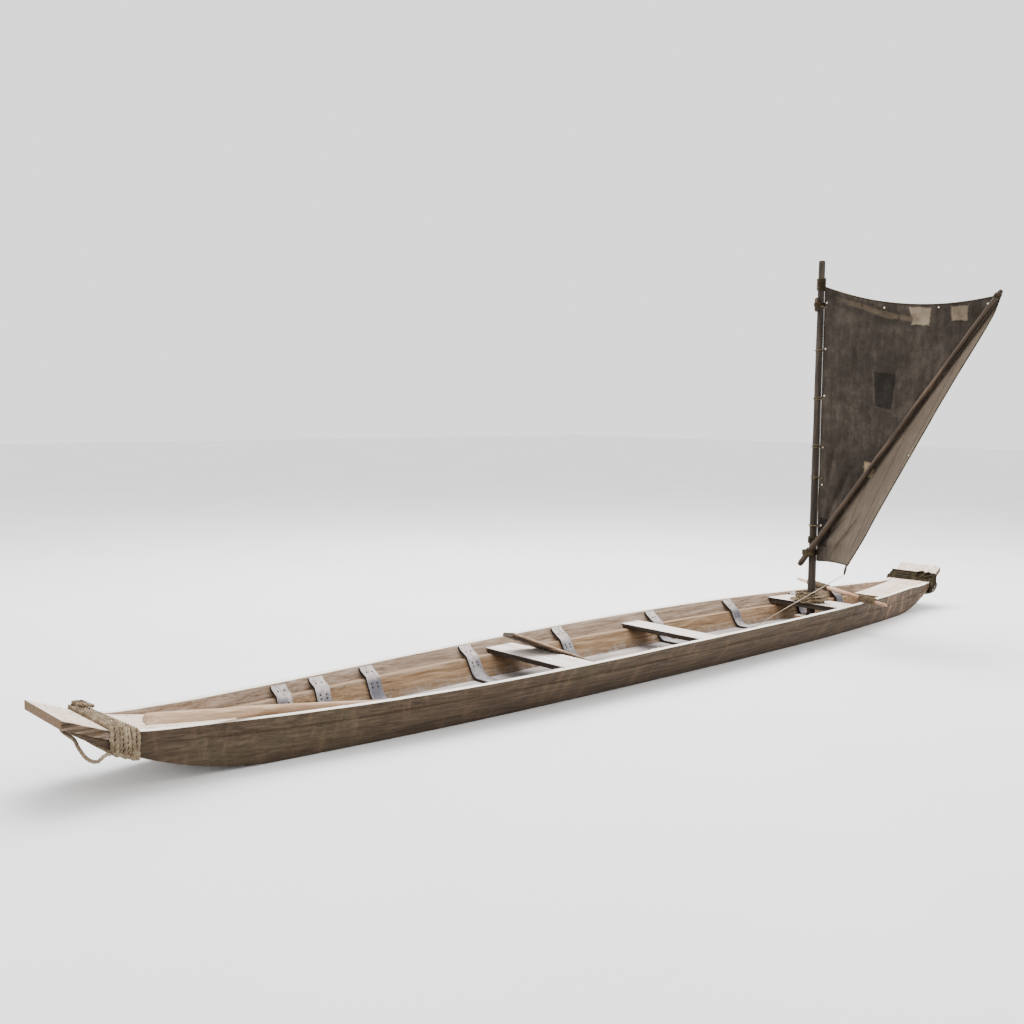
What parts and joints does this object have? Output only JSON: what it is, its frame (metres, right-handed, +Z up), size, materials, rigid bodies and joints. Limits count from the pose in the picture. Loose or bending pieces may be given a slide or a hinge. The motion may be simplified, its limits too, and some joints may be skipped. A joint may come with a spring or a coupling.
{
  "type": "flat-bottomed sailing boat",
  "caption": "Long narrow flat-bottomed plank boat with upswept board ends, bent frames, seats, a stepped mast and a ragged sprit sail on a turning rig.",
  "frame": {"origin": "middle of the boat's length on the centreline, on the underside of the flat bottom", "axes": "+X towards the bow, +Y to port, +Z up"},
  "size_m": [7, 1.8167, 2.605],
  "materials": {
    "side_wood": "old brown plank, weathered",
    "bottom_wood": "oiled reddish brown plank, worn",
    "deck_wood": "bare tan plank, weathered",
    "frame_wood": "grey bent strap, nailed",
    "seat_wood": "pale worn plank",
    "pole_wood": "dark peeled pole",
    "loose_wood": "tan dry wood",
    "sail_cloth": "dirty taupe cloth, patched",
    "rope": "twisted fibre rope"
  },
  "bodies": {
    "root": {"upper_strake_port_aft": "side_wood", "upper_strake_port_middle": "side_wood", "upper_strake_port_fore": "side_wood", "upper_strake_starboard_aft": "side_wood", "upper_strake_starboard_middle": "side_wood", "upper_strake_starboard_fore": "side_wood", "lower_strake_port_aft": "side_wood", "lower_strake_port_middle": "side_wood", "lower_strake_port_fore": "side_wood", "lower_strake_starboard_aft": "side_wood", "lower_strake_starboard_middle": "side_wood", "lower_strake_starboard_fore": "side_wood", "bottom_plank_port": "bottom_wood", "bottom_plank_centre": "bottom_wood", "bottom_plank_starboard": "bottom_wood", "bottom_aft": "bottom_wood", "bottom_fore": "bottom_wood", "stern_block": "bottom_wood", "bow_block": "bottom_wood", "stern_board": "deck_wood", "bow_board": "deck_wood", "frame_1": "frame_wood", "frame_2": "frame_wood", "frame_3": "frame_wood", "frame_4": "frame_wood", "frame_5": "frame_wood", "frame_6": "frame_wood", "frame_7": "frame_wood", "frame_8": "frame_wood", "frame_9": "frame_wood", "aft_thwart": "seat_wood", "middle_thwart": "seat_wood", "mast_thwart": "seat_wood", "mast_thwart_cleat_port": "seat_wood", "mast_thwart_cleat_starboard": "seat_wood", "mast_step": "seat_wood", "spare_yard": "pole_wood", "loose_board": "loose_wood", "oar": "loose_wood", "yard_lashing_starboard": "rope", "yard_lashing_port": "rope", "mast_rope_coil": "rope", "stern_rope_wrap": "rope", "bow_rope_wrap": "rope", "stern_rope_loop": "rope", "bow_rope_loop": "rope", "sheet": "rope"},
    "rig": {"mast": "pole_wood", "masthead_lashing": "rope", "tack_lashing": "rope", "sprit": "pole_wood", "sprit_lashing": "rope", "sail": "sail_cloth", "clew_toggle": "loose_wood"}
  },
  "joints": [
    {"name": "mast_turn", "type": "hinge", "parent": "root", "child": "rig", "pos_m": [1.93, 0, 0], "axis": [0, 0, 1], "range_deg": [-91, 0]}
  ]
}
